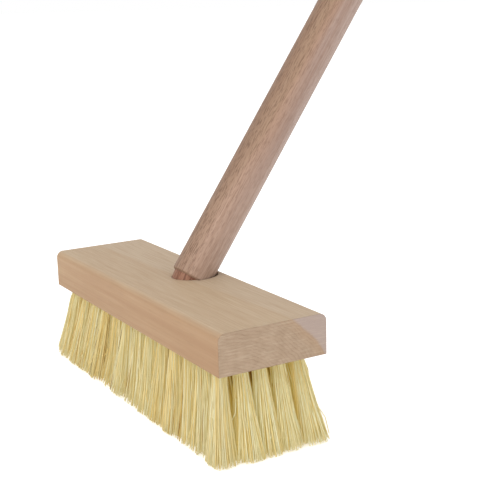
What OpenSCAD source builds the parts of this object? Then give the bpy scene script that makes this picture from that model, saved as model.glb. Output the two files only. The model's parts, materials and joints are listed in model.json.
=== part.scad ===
// Push broom: a solid wood block on five rows of natural fibre tufts, with a round wood
// handle wedged into an angled socket in the top of the block.
// Millimetres, +Z up. The origin is on the floor, under the middle of the block, where the
// tips of the middle tuft meet it. X runs along the block and the handle leans towards +Y.

/* [Block] */
// Length of the wood block along X
block_l = 254; // [240:2:280]
// Width of the wood block along Y
block_w = 76; // [74:1:84]
// Thickness of the wood block
block_h = 26.5; // [26.5:0.5:32]
// Radius of the two long top edges
edge_r = 5; // [3:0.5:9]

/* [Tufts] */
// Length of fibre below the block
fibre_l = 57; // [45:1:70]
// Width of a drilled tuft hole
hole_d = 8.5; // [8:0.1:8.8]
// Depth of a drilled tuft hole
hole_h = 11; // [9:0.5:11]
// Depth of the one tuft hole that lies under the bottom of the socket
short_hole_h = 5; // [4.5:0.1:5]
// Distance from the end of the block to the middle of the end tufts
end_inset = 19; // [17:0.5:20]
// Distance from the side of the block to the middle of the side tufts
side_inset = 11; // [10:0.5:12]
// How much wider than its hole a tuft is just below the block
swell = 0.6; // [0.4:0.1:1]
// Width of a tuft where it is trimmed at the floor
tip_d = 15; // [12:0.5:15.4]
// How far the tips of the end tufts stand outside their holes
end_flare = 13.3; // [11:0.1:13.5]
// How far the tips of the side tufts stand outside their holes
side_flare = 4.6; // [4:0.2:6]

/* [Staples] */
// Width of a staple across its two legs
staple_w = 6; // [5:0.5:6.5]
// Thickness of the flat staple wire
wire_t = 0.9; // [0.7:0.1:1]
// How far the staple legs go into the wood above the hole
leg_l = 2.4; // [2:0.1:2.4]

/* [Handle] */
// Diameter of the handle
handle_d = 28.6; // [27:0.1:28.8]
// Full length of the handle, with its tip
handle_l = 1220; // [900:10:1500]
// Lean of the handle away from upright, in degrees
lean = 34.8; // [33:0.1:36]
// Distance from the middle of the block to the middle of the socket's mouth
mouth_y = 13.25; // [12.5:0.25:14]
// Height of the handle's shoulder along its axis, counted from the socket's mouth
shoulder_s = -1.5; // [-3:0.5:-1]
// Bevel round the edge of the shoulder
shoulder_bevel = 1; // [0.5:0.1:1.5]
// Diameter of the tapered tip at the shoulder
neck_d = 25.2; // [24.6:0.1:26]
// Diameter of the tapered tip at its bottom
tip_end_d = 22.4; // [21:0.1:23]
// Depth of the handle's tip along its axis, counted from the socket's mouth
tip_depth = 16; // [14:0.5:16]
// Bevel at the bottom of the handle's tip
tip_bevel = 2; // [1.5:0.5:3]
// Radius of the rounded edge at the top end of the handle
top_r = 6; // [3:1:10]
// Gap round the full diameter of the handle in the mouth of the socket
mouth_gap = 0.8; // [0.7:0.1:1]
// How far the bore of the mouth lies off the handle's axis, on the side the handle leans to
bore_shift = 0.8; // [0:0.1:0.8]
// Gap between the tapered tip and the taper of the socket
taper_gap = 0.2; // [0.15:0.05:0.3]

/* [Hidden] */
$fn = 64;
columns = 13;
rows = 5;
pitch_x = (block_l - 2 * end_inset) / (columns - 1);
pitch_y = (block_w - 2 * side_inset) / (rows - 1);
top_z = fibre_l + block_h;
middle_column = (columns - 1) / 2;
middle_row = (rows - 1) / 2;
short_row = middle_row + 1;
// The tuft's plug is a little slimmer and shorter than its hole
plug_gap = 0.1;
// The staple's bar lies this far below the top of the hole, with the fibre folded over it
fold_h = 2;
wire_w = 1.2;
// Tool overlap, so that no cut ends flush with a face
cut = 1;

block_colour = [0.76, 0.67, 0.55];
handle_colour = [0.70, 0.57, 0.49];
fibre_colour = [0.84, 0.77, 0.55];
staple_colour = [0.62, 0.62, 0.64];

function column_x(i) = (i - middle_column) * pitch_x;
function row_y(j) = (j - middle_row) * pitch_y;
function hole_depth(i, j) = i == middle_column && j == short_row ? short_hole_h : hole_h;

// Puts its children at the middle of the socket's mouth, with +Z up along the handle
module at_socket() {
  translate([0, mouth_y, top_z])
    rotate([-lean, 0, 0])
      children();
}

// Cross-section of the block, with its two top corners rounded, in X (width) and Y (height)
module block_section() {
  translate([-block_w / 2, 0])
    square([block_w, block_h - edge_r]);
  translate([-block_w / 2 + edge_r, 0])
    square([block_w - 2 * edge_r, block_h]);
  for (side = [-1, 1])
    translate([side * (block_w / 2 - edge_r), block_h - edge_r])
      circle(r = edge_r);
}

// Space cut out for the handle: a bore for the full diameter, then a taper with a bevelled end
module socket_space() {
  bottom_r = tip_end_d / 2 + taper_gap;
  translate([0, bore_shift, shoulder_s - taper_gap])
    cylinder(h = handle_d, d = handle_d + 2 * mouth_gap);
  translate([0, 0, tip_bevel - tip_depth])
    cylinder(h = tip_depth - tip_bevel + shoulder_s, r1 = bottom_r, r2 = neck_d / 2 + taper_gap);
  translate([0, 0, -tip_depth - taper_gap])
    cylinder(h = tip_bevel + taper_gap, r1 = bottom_r - tip_bevel, r2 = bottom_r);
}

module block() {
  color(block_colour)
    difference() {
      translate([-block_l / 2, 0, fibre_l])
        rotate([90, 0, 90])
          linear_extrude(height = block_l)
            block_section();
      for (i = [0 : columns - 1], j = [0 : rows - 1])
        translate([column_x(i), row_y(j), fibre_l - cut])
          cylinder(h = cut + hole_depth(i, j), d = hole_d, $fn = 32);
      at_socket()
        socket_space();
    }
}

// Half cross-section of the round handle, in X (radius) and Y (height from the socket's mouth)
module handle_section() {
  r = handle_d / 2;
  end_r = tip_end_d / 2;
  top_s = handle_l - tip_depth;
  polygon([
    [0, -tip_depth],
    [end_r - tip_bevel, -tip_depth],
    [end_r, tip_bevel - tip_depth],
    [neck_d / 2, shoulder_s],
    [r - shoulder_bevel, shoulder_s],
    [r, shoulder_s + shoulder_bevel],
    [r, top_s - top_r],
    [0, top_s - top_r]
  ]);
  translate([0, top_s - top_r - cut])
    square([r - top_r, top_r + cut]);
  intersection() {
    translate([r - top_r, top_s - top_r])
      circle(r = top_r);
    translate([0, top_s - top_r - cut])
      square([r, top_r + cut]);
  }
}

module handle() {
  color(handle_colour)
    at_socket()
      rotate_extrude($fn = 96)
        handle_section();
}

// One flat wire staple: a bar across the fold of the tuft and two legs past the top of the hole at z
module staple(z, leg) {
  translate([-staple_w / 2, -wire_w / 2, z - fold_h])
    cube([staple_w, wire_w, wire_t]);
  for (side = [-1, 1])
    translate([side * (staple_w - wire_t) / 2 - wire_t / 2, -wire_w / 2, z - fold_h])
      cube([wire_t, wire_w, fold_h + leg]);
}

// One tuft: a plug in the hole, folded over its staple, and a leaning cone trimmed at the floor
module tuft(i, j) {
  x = column_x(i);
  y = row_y(j);
  dx = end_flare * (i - middle_column) / middle_column;
  dy = side_flare * (j - middle_row) / middle_row;
  reach = norm([dx, dy]);
  tilt = atan2(reach, fibre_l);
  turn = atan2(dy, dx);
  axis_l = norm([reach, fibre_l]);
  // The cone runs on past both ends, so its width holds true where it leaves the block
  extra = 6;
  plug_r = hole_d / 2 - plug_gap;
  base_r = (hole_d + swell) / 2;
  widen = (tip_d / 2 - base_r) / axis_l;
  depth = hole_depth(i, j);
  difference() {
    union() {
      translate([x, y, fibre_l])
        cylinder(h = depth - plug_gap, r = plug_r, $fn = 32);
      intersection() {
        translate([x, y, fibre_l])
          rotate([0, 0, turn])
            rotate([0, 180 - tilt, 0])
              translate([0, 0, -extra])
                cylinder(h = axis_l + 2 * extra, r1 = base_r - widen * extra,
                         r2 = tip_d / 2 + widen * extra, $fn = 32);
        translate([x - fibre_l, y - fibre_l, 0])
          cube([2 * fibre_l, 2 * fibre_l, fibre_l]);
      }
    }
    translate([x, y, 0])
      staple(fibre_l + depth, cut);
  }
}

// One column of tufts across the block
module tufts(i) {
  color(fibre_colour)
    for (j = [0 : rows - 1])
      tuft(i, j);
}

// The staples that hold one column of tufts
module staples(i) {
  color(staple_colour)
    for (j = [0 : rows - 1])
      translate([column_x(i), row_y(j), 0])
        staple(fibre_l + hole_depth(i, j), leg_l);
}

block();
handle();
tufts(0);  // tufts_01
tufts(1);  // tufts_02
tufts(2);  // tufts_03
tufts(3);  // tufts_04
tufts(4);  // tufts_05
tufts(5);  // tufts_06
tufts(6);  // tufts_07
tufts(7);  // tufts_08
tufts(8);  // tufts_09
tufts(9);  // tufts_10
tufts(10);  // tufts_11
tufts(11);  // tufts_12
tufts(12);  // tufts_13
staples(0);  // staples_01
staples(1);  // staples_02
staples(2);  // staples_03
staples(3);  // staples_04
staples(4);  // staples_05
staples(5);  // staples_06
staples(6);  // staples_07
staples(7);  // staples_08
staples(8);  // staples_09
staples(9);  // staples_10
staples(10);  // staples_11
staples(11);  // staples_12
staples(12);  // staples_13
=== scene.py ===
"""Looks of the push broom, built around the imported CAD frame. Metres, in the row frame."""

import json
import math
from types import SimpleNamespace

import bpy
import numpy as np
from mathutils import Matrix, Vector


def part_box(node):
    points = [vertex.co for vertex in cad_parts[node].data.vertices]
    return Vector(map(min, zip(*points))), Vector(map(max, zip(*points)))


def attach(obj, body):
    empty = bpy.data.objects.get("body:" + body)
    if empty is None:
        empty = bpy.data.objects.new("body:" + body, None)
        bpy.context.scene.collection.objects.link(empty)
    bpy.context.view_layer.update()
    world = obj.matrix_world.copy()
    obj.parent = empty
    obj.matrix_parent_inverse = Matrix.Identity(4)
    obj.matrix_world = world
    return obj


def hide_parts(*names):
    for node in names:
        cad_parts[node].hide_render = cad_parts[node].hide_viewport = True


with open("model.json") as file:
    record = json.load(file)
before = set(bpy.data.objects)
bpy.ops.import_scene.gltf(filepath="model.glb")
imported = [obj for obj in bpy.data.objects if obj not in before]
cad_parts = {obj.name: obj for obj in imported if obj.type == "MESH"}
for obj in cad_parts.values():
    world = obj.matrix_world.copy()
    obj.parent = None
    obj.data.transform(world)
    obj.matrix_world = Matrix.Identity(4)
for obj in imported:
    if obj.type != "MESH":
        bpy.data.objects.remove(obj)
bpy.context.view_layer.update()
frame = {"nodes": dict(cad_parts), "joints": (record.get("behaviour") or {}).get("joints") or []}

MM = 0.001

# Camera, at the photograph's viewing angle
CAMERA_FROM = Vector((0.6284, -0.3147, 0.2698))
CAMERA_AIM = Vector((0.0180, 0.0501, 0.0999))
CAMERA_ROLL = math.radians(-1.35)
CAMERA_LENS = 75.4

# Floor and light
FLOOR_HALF = 30.0
FLOOR_Z = -0.4 * MM
FLOOR_GLOW = 0.38
KEY_FROM = Vector((0.7, -1.4, 1.3))
KEY_AIM = Vector((0, 0, 0.07))
KEY_SIZE = 1.5
KEY_POWER = 14

# Block wood: the heart of the tree, its growth rings, and the marks of the saw on the ends
HEART_Y = -33 * MM
HEART_BELOW = 35 * MM
HEART_SLOPE = 0.07
RING_DRIFT = 9 * MM
RING_PITCH = 2.1 * MM
OUTER_WOOD_R = 77 * MM
SAW_TURN = math.radians(-32)

# Fibres: how many in a tuft, in how many strands, and their shape
FIBRES = 420
STRANDS = 30
FIBRE_R = 0.29 * MM
SIDES = 3
RUN_RINGS = 8
WAVE = 0.4 * MM
STRAY_SHARE = 0.02
SEED = 41

# How much a tip can be off: a whole tuft's place, and the trim of a tuft, strand, fibre and stray
TIP_WANDER = 0.7 * MM
TUFT_TRIM = 0.5 * MM
STRAND_TRIM = 0.2 * MM
FIBRE_TRIM = 0.25 * MM
STRAY_TRIM = 6 * MM

# Tufts in their holes: the radius of the bundle, half the width of the staple's wire and the fibres'
# distance from it, and the fold's height, counted from the staple's legs or from the block's underside
COLUMNS = 13
ROWS = 5
BUNDLE_R = 4.2 * MM
HALF_WIRE = 0.6 * MM
WIRE_CLEAR = 0.9 * MM
FOLD_BELOW_LEG = 2.6 * MM
SHORT_FOLD = 4.8 * MM
FOLD_LENGTH = 2.2 * MM
FOLD_DEPTH = 0.8 * MM

# The brush as used: tips set towards -Y, a worn -X end, and how far past the CAD tufts tips may go
SET = 1.8 * MM
WORN_RUN = 9 * MM
WORN_RISE = 7 * MM
TIP_ROOM = (1.5 * MM, 2.0 * MM)

# How tufts spread below the block. The powers say how soon, and tip_spread says how wide, each along
# and across the block. A tuft with more bow has its outer tips higher, and a paler one is lighter.
OTHER_COLUMN = {
    "swell": 0.9 * MM,
    "powers": (0.85, 1.5),
    "tip_spread": (1.6, 1.3),
    "bow": 0.35,
    "paler": 0.0,
}
FIRST_COLUMN = {**OTHER_COLUMN, "swell": 2.2 * MM, "tip_spread": (1.25, 1.3)}
LAST_COLUMN = {
    "swell": 0.0,
    "powers": (1.2, 1.4),
    "tip_spread": (1.25, 1.3),
    "bow": 0.05,
    "paler": 0.18,
}

# Painted shade: how much darker inner fibres are painted at their holes, where little light gets in
# between the tufts, and how fast that fades towards the tips
DEEP_SHADE = 1.3
SHADE_FALL = 1.6

# Fibre colours, with the glow that stands for light that passes through thin fibres. The root colour is a
# painted shade, which fibres of inner tufts reach near their holes.
FIBRE_LOOK = {
    "root": (148, 98, 36),
    "dull": (206, 180, 108),
    "middle": (205, 197, 157),
    "pale": (214, 217, 195),
    "golden": (218, 185, 102),
    "mark": (192, 167, 110),
    "glow": (1.0, 0.74, 0.16),
    "glow_strength": 0.15,
}
# The same fibre on the front row, painted darker and with a stronger, paler glow: painted light and shade
# that even out the lamp's highlights and shadows on that row
FRONT_FIBRE_LOOK = {
    "root": (132, 86, 36),
    "dull": (184, 154, 86),
    "middle": (179, 171, 135),
    "pale": (191, 190, 170),
    "golden": (196, 160, 82),
    "mark": (171, 148, 90),
    "glow": (1.0, 0.83, 0.34),
    "glow_strength": 0.243,
}


# ---------------------------------------------------------------- node helpers


def new_material(name):
    """A material with its node tree and its Principled shader."""
    material = bpy.data.materials.new(name)
    material.use_nodes = True
    tree = material.node_tree
    return material, tree, tree.nodes["Principled BSDF"]


def plug(tree, socket, value):
    """Links a socket to another, or sets its plain value."""
    if isinstance(value, bpy.types.NodeSocket):
        tree.links.new(value, socket)
    else:
        socket.default_value = value


def do_math(tree, operation, a, b=0.0):
    node = tree.nodes.new("ShaderNodeMath")
    node.operation = operation
    plug(tree, node.inputs[0], a)
    plug(tree, node.inputs[1], b)
    return node.outputs[0]


def span(tree, value, low, high, to_low=0.0, to_high=1.0):
    """Maps a value from one span to another, and holds it at the ends."""
    node = tree.nodes.new("ShaderNodeMapRange")
    plug(tree, node.inputs["Value"], value)
    node.inputs["From Min"].default_value = low
    node.inputs["From Max"].default_value = high
    node.inputs["To Min"].default_value = to_low
    node.inputs["To Max"].default_value = to_high
    return node.outputs["Result"]


def stretched(tree, vector, scale, turn=(0.0, 0.0, 0.0)):
    """Coordinates turned and then scaled along each axis."""
    node = tree.nodes.new("ShaderNodeMapping")
    node.vector_type = "POINT"
    plug(tree, node.inputs["Vector"], vector)
    node.inputs["Rotation"].default_value = turn
    node.inputs["Scale"].default_value = scale
    return node.outputs["Vector"]


def noise(tree, vector, scale, detail=2.0, roughness=0.5, turn=(0.0, 0.0, 0.0)):
    """Noise with its own scale, in waves a metre, along each axis of the turned coordinates."""
    node = tree.nodes.new("ShaderNodeTexNoise")
    plug(tree, node.inputs["Vector"], stretched(tree, vector, scale, turn))
    node.inputs["Scale"].default_value = 1.0
    node.inputs["Detail"].default_value = detail
    node.inputs["Roughness"].default_value = roughness
    return node.outputs["Fac"]


def split(tree, vector):
    """The X, Y and Z of a vector."""
    node = tree.nodes.new("ShaderNodeSeparateXYZ")
    plug(tree, node.inputs[0], vector)
    return node.outputs


def blend_colour(tree, factor, a, b):
    node = tree.nodes.new("ShaderNodeMix")
    node.data_type = "RGBA"
    plug(tree, node.inputs["Factor"], factor)
    plug(tree, node.inputs["A"], a)
    plug(tree, node.inputs["B"], b)
    return node.outputs["Result"]


def ramp(tree, factor, stops):
    """A colour picked by factor from everyday colours at rising positions."""
    node = tree.nodes.new("ShaderNodeValToRGB")
    plug(tree, node.inputs["Fac"], factor)
    elements = node.color_ramp.elements
    for element, (position, tone) in zip(elements, (stops[0], stops[-1])):
        element.position = position
        element.color = linear(*tone)
    for position, tone in stops[1:-1]:
        elements.new(position).color = linear(*tone)
    return node.outputs["Color"]


def attribute(tree, name):
    """A value that the mesh holds on its points."""
    node = tree.nodes.new("ShaderNodeAttribute")
    node.attribute_name = name
    return node.outputs["Fac"]


def bump(tree, height, distance, edge_r):
    """A normal for fine relief of a given depth, on a solid whose sharp edges are softened."""
    edges = tree.nodes.new("ShaderNodeBevel")
    edges.samples = 4
    edges.inputs["Radius"].default_value = edge_r
    node = tree.nodes.new("ShaderNodeBump")
    node.inputs["Strength"].default_value = 0.5
    node.inputs["Distance"].default_value = distance
    plug(tree, node.inputs["Height"], height)
    plug(tree, node.inputs["Normal"], edges.outputs["Normal"])
    return node.outputs["Normal"]


def linear(red, green, blue):
    """A colour given as everyday 0 to 255 values, in the linear values that shaders take."""
    parts = []
    for value in (red, green, blue):
        share = value / 255
        parts.append(share / 12.92 if share <= 0.04045 else ((share + 0.055) / 1.055) ** 2.4)
    return (*parts, 1.0)


# ---------------------------------------------------------------- block


def heart_distance(tree, place):
    """Distance from the heart of the tree, which lay under the front edge and ran a little askew."""
    x, y, z = split(tree, place)
    low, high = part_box("block")
    slant = do_math(tree, "MULTIPLY", do_math(tree, "SUBTRACT", x, high.x), HEART_SLOPE)
    across = do_math(tree, "SUBTRACT", y, slant)
    across = do_math(tree, "SUBTRACT", across, HEART_Y)
    above = do_math(tree, "SUBTRACT", z, low.z - HEART_BELOW)
    squares = do_math(tree, "MULTIPLY", across, across)
    squares = do_math(tree, "ADD", squares, do_math(tree, "MULTIPLY", above, above))
    drift = noise(tree, place, (5, 42, 42), 4.0, 0.6)
    drift = do_math(tree, "MULTIPLY", do_math(tree, "SUBTRACT", drift, 0.5), RING_DRIFT)
    return do_math(tree, "ADD", do_math(tree, "SQRT", squares), drift)


def block_grain(tree, place):
    """The patterns that all faces of the block share."""
    radius = heart_distance(tree, place)
    # Growth rings: a slow rise to a dark line, then a sharp fall
    ring = do_math(tree, "FRACT", do_math(tree, "DIVIDE", radius, RING_PITCH))
    ring = do_math(tree, "POWER", ring, 3.0)
    patchy = noise(tree, place, (9, 110, 110), 3.0, 0.6)
    pores = noise(tree, place, (60, 2600, 2600), 2.0, 0.6)
    return SimpleNamespace(
        radius=radius,
        ring=do_math(tree, "MULTIPLY", ring, span(tree, patchy, 0.35, 0.65, 0.3, 1.0)),
        outer=span(tree, radius, OUTER_WOOD_R, OUTER_WOOD_R + 2 * MM),
        broad=noise(tree, place, (6, 45, 45), 4.0, 0.6),
        mottle=noise(tree, place, (3, 180, 180), 3.0, 0.6),
        fine=noise(tree, place, (25, 900, 900), 3.0, 0.6),
        pores=span(tree, pores, 0.60, 0.72),
        saw=noise(tree, place, (1, 70, 1100), turn=(SAW_TURN, 0, 0)),
    )


def long_faces(tree, place, grain, is_side):
    """Colour of the long faces: nearly plain, paler and greyer in the outer wood, warmer on the sides."""
    broad = span(tree, grain.broad, 0.35, 0.65)
    top_tone = blend_colour(tree, broad, linear(182, 161, 134), linear(174, 149, 121))
    greyer = do_math(tree, "MULTIPLY", grain.outer, 0.8)
    top_tone = blend_colour(tree, greyer, top_tone, linear(180, 160, 136))

    side_tone = blend_colour(tree, broad, linear(171, 143, 111), linear(160, 128, 97))
    mottled = span(tree, grain.mottle, 0.4, 0.62, 0.0, 0.6)
    side_tone = blend_colour(tree, mottled, side_tone, linear(149, 115, 85))
    end_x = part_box("block")[1].x
    to_end = span(tree, split(tree, place)["X"], -end_x, end_x, 0.0, 0.5)
    side_tone = blend_colour(tree, to_end, side_tone, linear(150, 113, 80))

    colour = blend_colour(tree, is_side, top_tone, side_tone)
    ring_mark = do_math(tree, "MULTIPLY", grain.ring, 0.15)
    colour = blend_colour(tree, ring_mark, colour, linear(140, 108, 80))
    streak = span(tree, grain.fine, 0.38, 0.68, 0.0, 0.27)
    colour = blend_colour(tree, streak, colour, linear(152, 124, 96))
    pore_mark = do_math(tree, "MULTIPLY", grain.pores, 0.25)
    return blend_colour(tree, pore_mark, colour, linear(110, 84, 60))


def end_faces(tree, place, grain):
    """Colour of the ends: arcs, a browner band where they stop, then the smooth greyish outer wood."""
    mottled = span(tree, grain.mottle, 0.35, 0.65)
    colour = blend_colour(tree, mottled, linear(164, 141, 118), linear(154, 131, 108))
    border = span(tree, grain.radius, OUTER_WOOD_R - 7 * MM, OUTER_WOOD_R, 0.0, 0.5)
    colour = blend_colour(tree, border, colour, linear(160, 130, 102))
    ring_mark = span(tree, grain.ring, 0.1, 0.9, 0.0, 0.6)
    colour = blend_colour(tree, ring_mark, colour, linear(130, 104, 80))
    colour = blend_colour(tree, grain.outer, colour, linear(160, 142, 132))
    speck = span(tree, noise(tree, place, (400, 2400, 2400), 2.0, 0.7), 0.5, 0.75, 0.0, 0.3)
    colour = blend_colour(tree, speck, colour, linear(136, 112, 92))
    saw_mark = span(tree, grain.saw, 0.5, 0.7, 0.0, 0.3)
    return blend_colour(tree, saw_mark, colour, linear(190, 172, 150))


def block_wood():
    """Pale hardwood: one field of growth rings through the block, seen as arcs on its ends."""
    material, tree, shader = new_material("block_wood")
    coords = tree.nodes.new("ShaderNodeTexCoord")
    place = coords.outputs["Object"]
    facing = split(tree, coords.outputs["Normal"])
    is_end = span(tree, do_math(tree, "ABSOLUTE", facing["X"]), 0.6, 0.9)
    is_side = span(tree, do_math(tree, "ABSOLUTE", facing["Y"]), 0.2, 0.95)
    grain = block_grain(tree, place)
    long_colour = long_faces(tree, place, grain, is_side)
    colour = blend_colour(tree, is_end, long_colour, end_faces(tree, place, grain))
    plug(tree, shader.inputs["Base Color"], colour)
    plug(tree, shader.inputs["Roughness"], span(tree, grain.fine, 0.3, 0.7, 0.55, 0.7))
    shader.inputs["Specular IOR Level"].default_value = 0.3
    heights = do_math(tree, "SUBTRACT", grain.fine, do_math(tree, "MULTIPLY", grain.pores, 0.6))
    heights = do_math(tree, "ADD", heights, do_math(tree, "MULTIPLY", grain.saw, is_end))
    plug(tree, shader.inputs["Normal"], bump(tree, heights, 0.1 * MM, 0.7 * MM))
    return material


# ---------------------------------------------------------------- handle


def handle_measures():
    """The handle's lean and, in coordinates turned along it, its middle, radius and shoulder."""
    axis = frame["joints"][0]["axis"]
    lean = math.atan2(axis[1], axis[2])
    corners = [vertex.co for vertex in frame["nodes"]["handle"].data.vertices]
    depths = [c.y * math.cos(lean) - c.z * math.sin(lean) for c in corners]
    middle = (max(depths) + min(depths)) / 2
    radius = (max(depths) - min(depths)) / 2
    full = [c for c, depth in zip(corners, depths) if math.hypot(c.x, depth - middle) > 0.9 * radius]
    shoulder = min(c.y * math.sin(lean) + c.z * math.cos(lean) for c in full)
    return lean, middle, radius, shoulder


def handle_wood():
    """Reddish hardwood stick: a dark side full of short pores, and a smooth greyish side. The change
    across it is partly the wood's own tones and partly painted light: painted shade on the dark side and
    a painted sheen on the greyish side.
    """
    material, tree, shader = new_material("handle_wood")
    lean, middle, radius, shoulder = handle_measures()
    coords = tree.nodes.new("ShaderNodeTexCoord")
    along = stretched(tree, coords.outputs["Object"], (1, 1, 1), (lean, 0, 0))
    bands = noise(tree, along, (150, 150, 4), 3.0, 0.55)
    streaks = noise(tree, along, (600, 600, 20), 3.0, 0.6)
    pores = noise(tree, along, (1600, 1600, 180))
    patches = noise(tree, along, (60, 60, 7))

    # Where a point lies across the stick, from 0 to 1: partly the layers of the board that the stick was
    # cut from, and partly painted light, darker on one side and paler with a painted sheen on the other
    x, y, z = split(tree, along)
    deep = do_math(tree, "MULTIPLY", do_math(tree, "SUBTRACT", y, middle), 0.85)
    across = do_math(tree, "ADD", do_math(tree, "MULTIPLY", x, 0.52), deep)
    wobble = do_math(tree, "MULTIPLY", do_math(tree, "SUBTRACT", patches, 0.5), 0.9 * radius)
    layer = span(tree, do_math(tree, "ADD", across, wobble), -radius, radius)
    layer_and_light_tones = (
        (0.1, (135, 108, 87)),
        (0.38, (151, 122, 98)),
        (0.52, (163, 132, 112)),
        (0.75, (161, 138, 127)),
        (0.95, (169, 147, 136)),
    )
    colour = ramp(tree, layer, layer_and_light_tones)
    band = span(tree, bands, 0.4, 0.62, 0.0, 0.35)
    colour = blend_colour(tree, band, colour, linear(134, 102, 82))

    # Paler towards the block, most of all on the smooth side
    near_head = span(tree, z, shoulder, shoulder + 0.12, 0.6, 0.0)
    near_head = do_math(tree, "MULTIPLY", near_head, span(tree, layer, 0.15, 0.6, 0.3, 1.0))
    colour = blend_colour(tree, near_head, colour, linear(182, 153, 133))
    streak = span(tree, streaks, 0.42, 0.66, 0.0, 0.35)
    colour = blend_colour(tree, streak, colour, linear(128, 96, 76))
    pored = span(tree, layer, 0.2, 0.7, 0.8, 0.25)
    pore_mark = do_math(tree, "MULTIPLY", span(tree, pores, 0.5, 0.62), pored)
    colour = blend_colour(tree, pore_mark, colour, linear(104, 76, 58))

    # The cut tip below the shoulder is redder wood, and darker with painted shade under the shoulder in
    # the mouth of the hole
    in_tip = span(tree, z, shoulder - 0.3 * MM, shoulder, 1.0, 0.0)
    tip_streak = span(tree, streaks, 0.4, 0.6)
    tip_tone_and_shade = blend_colour(tree, tip_streak, linear(150, 106, 82), linear(112, 72, 52))
    colour = blend_colour(tree, in_tip, colour, tip_tone_and_shade)
    plug(tree, shader.inputs["Base Color"], colour)
    plug(tree, shader.inputs["Roughness"], span(tree, streaks, 0.3, 0.7, 0.45, 0.6))
    shader.inputs["Specular IOR Level"].default_value = 0.35
    heights = do_math(tree, "SUBTRACT", streaks, pore_mark)
    plug(tree, shader.inputs["Normal"], bump(tree, heights, 0.15 * MM, 0.5 * MM))
    return material


# ---------------------------------------------------------------- fibre and wire


def straw_fibre(name, look):
    """Pale straw fibre: each fibre has its own tone, down to a painted shade at the holes of inner tufts;
    some strands are golden, and each is marked.
    """
    material, tree, shader = new_material(name)
    coords = tree.nodes.new("ShaderNodeTexCoord")
    run = noise(tree, coords.outputs["Object"], (500, 500, 45), 3.0, 0.6)
    tint = attribute(tree, "fibre_tint")
    # The lowest stop, the root colour, is painted shade deep in the brush
    tones = ((0.0, look["root"]), (0.18, look["dull"]), (0.42, look["middle"]), (1.0, look["pale"]))
    colour = ramp(tree, tint, tones)
    gilt = span(tree, attribute(tree, "fibre_gold"), 0.5, 0.85, 0.0, 0.65)
    colour = blend_colour(tree, gilt, colour, linear(*look["golden"]))
    marked = span(tree, run, 0.45, 0.75, 0.0, 0.4)
    colour = blend_colour(tree, marked, colour, linear(*look["mark"]))
    plug(tree, shader.inputs["Base Color"], colour)
    plug(tree, shader.inputs["Roughness"], span(tree, run, 0.3, 0.7, 0.5, 0.65))
    shader.inputs["Specular IOR Level"].default_value = 0.1
    # The glow is weaker deep in the brush
    shader.inputs["Emission Color"].default_value = (*look["glow"], 1)
    strength = span(tree, tint, 0.0, 0.2, 0.02, look["glow_strength"])
    plug(tree, shader.inputs["Emission Strength"], strength)
    return material


def drawn_wire():
    """Flat drawn staple wire, with faint lines along it."""
    material, tree, shader = new_material("staple_wire")
    coords = tree.nodes.new("ShaderNodeTexCoord")
    lines = noise(tree, coords.outputs["Object"], (200, 4000, 4000))
    colour = blend_colour(tree, lines, linear(150, 150, 152), linear(190, 190, 192))
    plug(tree, shader.inputs["Base Color"], colour)
    shader.inputs["Metallic"].default_value = 1.0
    plug(tree, shader.inputs["Roughness"], span(tree, lines, 0.3, 0.7, 0.3, 0.5))
    return material


def dress(node, material):
    """Gives a CAD node, whose shape stays, its material."""
    for slot in frame["nodes"][node].material_slots:
        slot.link = "OBJECT"
        slot.material = material


# ---------------------------------------------------------------- tufts


def disc(rng, count):
    """Points spread evenly over a disc of radius 1."""
    radius = np.sqrt(rng.random(count))
    angle = rng.random(count) * 2 * math.pi
    return np.stack([radius * np.cos(angle), radius * np.sin(angle)], 1)


def held_in(points, limit=1.0):
    """Moves points outside a disc back to its edge."""
    length = np.linalg.norm(points, axis=1, keepdims=True)
    return points * np.minimum(1.0, limit / np.maximum(length, 1e-9))


def held_back(value, limit):
    """Presses values past a limit, on either side, most of the way back to it."""
    past = np.maximum(np.abs(value) - limit, 0)
    return np.sign(value) * (np.abs(value) - past * 0.75)


def column_shape(column):
    """What the tufts of one column share, from the boxes of the CAD pieces and the column's spread."""
    number = f"{column + 1:02d}"
    low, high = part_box("tufts_" + number)
    wire_low, wire_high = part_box("staples_" + number)
    middle_low, middle_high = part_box("tufts_07")
    tip_r = (middle_high.x - middle_low.x) / 2
    hole_x = (wire_low.x + wire_high.x) / 2
    outer_x = low.x + tip_r if hole_x < 0 else high.x - tip_r
    spread = {0: FIRST_COLUMN, COLUMNS - 1: LAST_COLUMN}.get(column, OTHER_COLUMN)
    return SimpleNamespace(
        number=number,
        hole_x=hole_x,
        tip_x=hole_x if column == COLUMNS // 2 else outer_x,
        side_y=(wire_high.y - wire_low.y) / 2 - HALF_WIRE,
        tip_side_y=high.y - tip_r,
        tip_size=tip_r * np.array(spread["tip_spread"]),
        limits=(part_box("tufts_13")[1].x + TIP_ROOM[0], middle_high.y + TIP_ROOM[1]),
        under=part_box("block")[0].z,
        fold=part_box("staples_01")[1].z - FOLD_BELOW_LEG,
        spread=spread,
    )


def strand_layout(rng):
    """Where each fibre of a tuft lies at its hole and at its tip, on discs of radius 1, and its trim."""
    strand = rng.integers(0, STRANDS, FIBRES)
    strand_home = disc(rng, STRANDS)
    strand_shift = rng.normal(0, 0.08, (STRANDS, 2))
    strand_trim = np.abs(rng.normal(0, STRAND_TRIM, STRANDS))
    strand_tone = rng.normal(0, 0.06, STRANDS)
    root = held_in(strand_home[strand] * 0.5 + disc(rng, FIBRES) * 0.8)
    end = held_in(root * 0.98 + strand_shift[strand] + disc(rng, FIBRES) * 0.4, 1.08)
    tone = 0.56 + strand_tone[strand] + rng.normal(0, 0.24, FIBRES)
    stray = rng.random(FIBRES) < STRAY_SHARE
    end[stray] += rng.normal(0, 0.5, (stray.sum(), 2))
    return SimpleNamespace(
        strand=strand, trim=strand_trim[strand], root=root, end=end, tone=tone, stray=stray
    )


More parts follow.
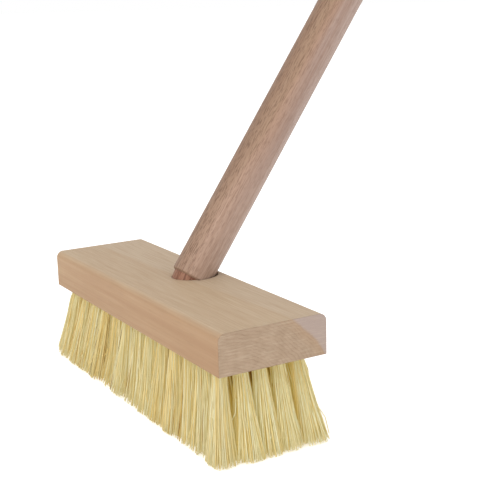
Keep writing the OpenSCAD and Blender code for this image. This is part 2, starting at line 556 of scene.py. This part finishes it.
def trimmed_height(rng, shape, layout, root_xy, end_xy):
    """Height of every tip above the floor: bow, wear at the -X end, and uneven trimming."""
    reach = np.linalg.norm(end_xy - root_xy, axis=1)
    lift = reach**2 / (2 * shape.under) * shape.spread["bow"]
    worn = np.clip(-(end_xy[:, 0] + shape.limits[0]) / WORN_RUN + 1, 0, 1) ** 2 * WORN_RISE
    tuft_trim = rng.random() * TUFT_TRIM
    end_z = lift + worn + layout.trim + tuft_trim + np.abs(rng.normal(0, FIBRE_TRIM, FIBRES))
    end_z[layout.stray] += rng.random(layout.stray.sum()) * STRAY_TRIM
    return end_z


def fibre_waves(rng, stray, run):
    """Sideways waves along every fibre, which strays have more of, growing from nothing at the hole."""
    size = np.abs(rng.normal(0, WAVE, (FIBRES, 1, 1)))
    size[stray] *= 4
    turns = rng.uniform(0.5, 1.9, (FIBRES, 1, 1))
    phase = rng.random((FIBRES, 1, 1)) * 2 * math.pi
    heading = rng.random(FIBRES) * 2 * math.pi
    heading = np.stack([np.cos(heading), np.sin(heading)], 1)[:, None, :]
    return size * np.sin(2 * math.pi * turns * run + phase) * heading * np.minimum(1, run * 4)


def tuft_paths(rng, shape, hole, tip, fold):
    """The centre line of every fibre in a tuft, from the fold over the staple to the trimmed tip."""
    layout = strand_layout(rng)
    root = layout.root
    root_xy = hole + root * BUNDLE_R
    tip = tip + rng.normal(0, TIP_WANDER, 2)
    end_xy = tip + layout.end * shape.tip_size
    end_xy = np.stack([held_back(end_xy[:, axis], shape.limits[axis]) for axis in (0, 1)], 1)
    end = (end_xy - tip) / shape.tip_size
    end_z = trimmed_height(rng, shape, layout, root_xy, end_xy)

    # The bundle swells out of the hole, then spreads, by a power of the run for each direction
    run = np.linspace(0, 1, RUN_RINGS + 1) ** 1.35
    run = run[None, :, None]
    place = root[:, None, :] * (1 - run) + end[:, None, :] * run
    opened = np.concatenate([run**power for power in shape.spread["powers"]], 2)
    swollen = shape.spread["swell"] * np.minimum(1, run * 10) * (1 - run)
    width = BUNDLE_R + swollen + (shape.tip_size - BUNDLE_R) * opened
    flat = hole + (tip - hole) * run + place * width + fibre_waves(rng, layout.stray, run)
    height = shape.under + (end_z[:, None, None] - shape.under) * run
    below = np.concatenate([flat, height], 2)

    # Inside the hole the fibre runs straight up, clear of the wire, and folds over the staple
    side = np.where(root_xy[:, 1] >= hole[1], 1.0, -1.0)
    clear_y = hole[1] + side * np.maximum(np.abs(root_xy[:, 1] - hole[1]), WIRE_CLEAR)
    over_y = hole[1] + side * 0.1 * MM
    inner = np.stack([root_xy[:, 0], clear_y, 0 * side + fold - FOLD_LENGTH], 1)
    over = np.stack([root_xy[:, 0], over_y, fold - rng.random(FIBRES) * FOLD_DEPTH], 1)
    return np.concatenate([over[:, None, :], inner[:, None, :], below], 1), layout


def store(mesh, name, values):
    """Keeps one value for each point of a mesh, for its material."""
    layer = mesh.attributes.new(name, "FLOAT", "POINT")
    layer.data.foreach_set("value", values.astype(np.float32))


def fibre_mesh(name, rng, paths, tone, gold, shade):
    """One closed mesh of thin tubes along the paths, with each fibre's tone, darkened near the holes by
    painted shade, and its gold on its points.
    """
    count, rings, _ = paths.shape
    turn = rng.random((count, 1, 1)) * 2 * math.pi
    angle = turn + np.arange(SIDES)[None, None, :] * 2 * math.pi / SIDES
    taper = np.linspace(1.0, 0.85, rings)[None, :, None]
    radius = FIBRE_R * rng.uniform(0.55, 1.4, (count, 1, 1)) * taper
    ring = np.stack([radius * np.cos(angle), radius * np.sin(angle), 0 * radius * angle], 3)
    points = paths[:, :, None, :] + ring
    numbers = np.arange(count * rings * SIDES).reshape(count, rings, SIDES)
    after = np.roll(numbers, -1, 2)
    walls = np.stack([numbers[:, :-1], after[:, :-1], after[:, 1:], numbers[:, 1:]], 3).reshape(-1, 4)
    faces = walls[:, ::-1].tolist() + numbers[:, 0, :].tolist() + numbers[:, -1, ::-1].tolist()
    mesh = bpy.data.meshes.new(name)
    mesh.from_pydata(points.reshape(-1, 3).tolist(), [], faces)
    # Painted shade: the tone falls near the holes of the inner tufts
    darker = shade * np.linspace(1, 0, rings)[None, :] ** SHADE_FALL
    tint = np.clip(tone[:, None] - darker, 0, 1)
    store(mesh, "fibre_tint", np.repeat(tint.ravel(), SIDES))
    store(mesh, "fibre_gold", np.repeat(gold, rings * SIDES))
    mesh.polygons.foreach_set("use_smooth", np.ones(len(mesh.polygons), bool))
    mesh.update()
    return mesh


def make_tufts(front_fibre, fibre):
    """Every tuft as its own bundle of fibres, in place of the plain CAD tufts."""
    rng = np.random.default_rng(SEED)
    gold_rng = np.random.default_rng(SEED + 1)
    for column in range(COLUMNS):
        shape = column_shape(column)
        for row in range(ROWS):
            share = row / (ROWS // 2) - 1
            hole = np.array([shape.hole_x, shape.side_y * share])
            tip = np.array([shape.tip_x, shape.tip_side_y * share - SET])
            # The hole under the bottom of the socket is a short one
            is_short = column == COLUMNS // 2 and row == ROWS // 2 + 1
            fold = shape.under + SHORT_FOLD if is_short else shape.fold
            paths, layout = tuft_paths(rng, shape, hole, tip, fold)
            inner = 0 < column < COLUMNS - 1 and 0 < row < ROWS - 1
            # Inner tufts get painted shade near their holes
            shade = DEEP_SHADE if inner else 0.0
            tone = layout.tone + shape.spread["paler"]
            gold = gold_rng.random(STRANDS)[layout.strand] * 0.75 + gold_rng.random(FIBRES) * 0.25
            name = f"tuft_{shape.number}_{row + 1}"
            piece = bpy.data.objects.new(name, fibre_mesh(name, rng, paths, tone, gold, shade))
            bpy.context.scene.collection.objects.link(piece)
            # The front row takes the painted darker copy of the fibre, with its stronger glow
            piece.data.materials.append(front_fibre if row == 0 else fibre)
            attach(piece, "head")
            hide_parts("tufts_" + shape.number)


# ---------------------------------------------------------------- stage


def make_floor():
    """A plain pale floor, just below the tips, that gives off a little light so that it stays white."""
    mesh = bpy.data.meshes.new("floor")
    corners = ((-1, -1), (1, -1), (1, 1), (-1, 1))
    points = [(x * FLOOR_HALF, y * FLOOR_HALF, FLOOR_Z) for x, y in corners]
    mesh.from_pydata(points, [], [(0, 1, 2, 3)])
    floor = bpy.data.objects.new("floor", mesh)
    bpy.context.scene.collection.objects.link(floor)
    material, _, shader = new_material("floor")
    shader.inputs["Base Color"].default_value = (0.92, 0.92, 0.92, 1)
    shader.inputs["Roughness"].default_value = 0.9
    shader.inputs["Specular IOR Level"].default_value = 0.0
    shader.inputs["Emission Color"].default_value = (1, 1, 1, 1)
    shader.inputs["Emission Strength"].default_value = FLOOR_GLOW
    floor.data.materials.append(material)


def make_light():
    """Even white light from all round, and a broad soft lamp over the front right corner."""
    world = bpy.data.worlds.new("studio")
    bpy.context.scene.world = world
    world.use_nodes = True
    background = world.node_tree.nodes["Background"]
    background.inputs["Color"].default_value = (1, 1, 1, 1)
    background.inputs["Strength"].default_value = 1.0
    lamp = bpy.data.lights.new("key", "AREA")
    lamp.shape = "DISK"
    lamp.size = KEY_SIZE
    lamp.energy = KEY_POWER
    key = bpy.data.objects.new("key", lamp)
    bpy.context.scene.collection.objects.link(key)
    key.location = KEY_FROM
    key.rotation_euler = (KEY_AIM - KEY_FROM).to_track_quat("-Z", "Y").to_euler()


def make_camera():
    lens = bpy.data.cameras.new("camera")
    lens.lens = CAMERA_LENS
    camera = bpy.data.objects.new("camera", lens)
    bpy.context.scene.collection.objects.link(camera)
    look = (CAMERA_AIM - CAMERA_FROM).to_track_quat("-Z", "Y").to_matrix().to_4x4()
    roll = Matrix.Rotation(CAMERA_ROLL, 4, "Z")
    camera.matrix_world = Matrix.Translation(CAMERA_FROM) @ look @ roll
    bpy.context.scene.camera = camera


make_camera()
make_floor()
make_light()
bpy.context.scene.view_settings.view_transform = "Standard"

dress("block", block_wood())
dress("handle", handle_wood())
wire = drawn_wire()
for column in range(COLUMNS):
    dress(f"staples_{column + 1:02d}", wire)
make_tufts(straw_fibre("front_fibre", FRONT_FIBRE_LOOK), straw_fibre("fibre", FIBRE_LOOK))
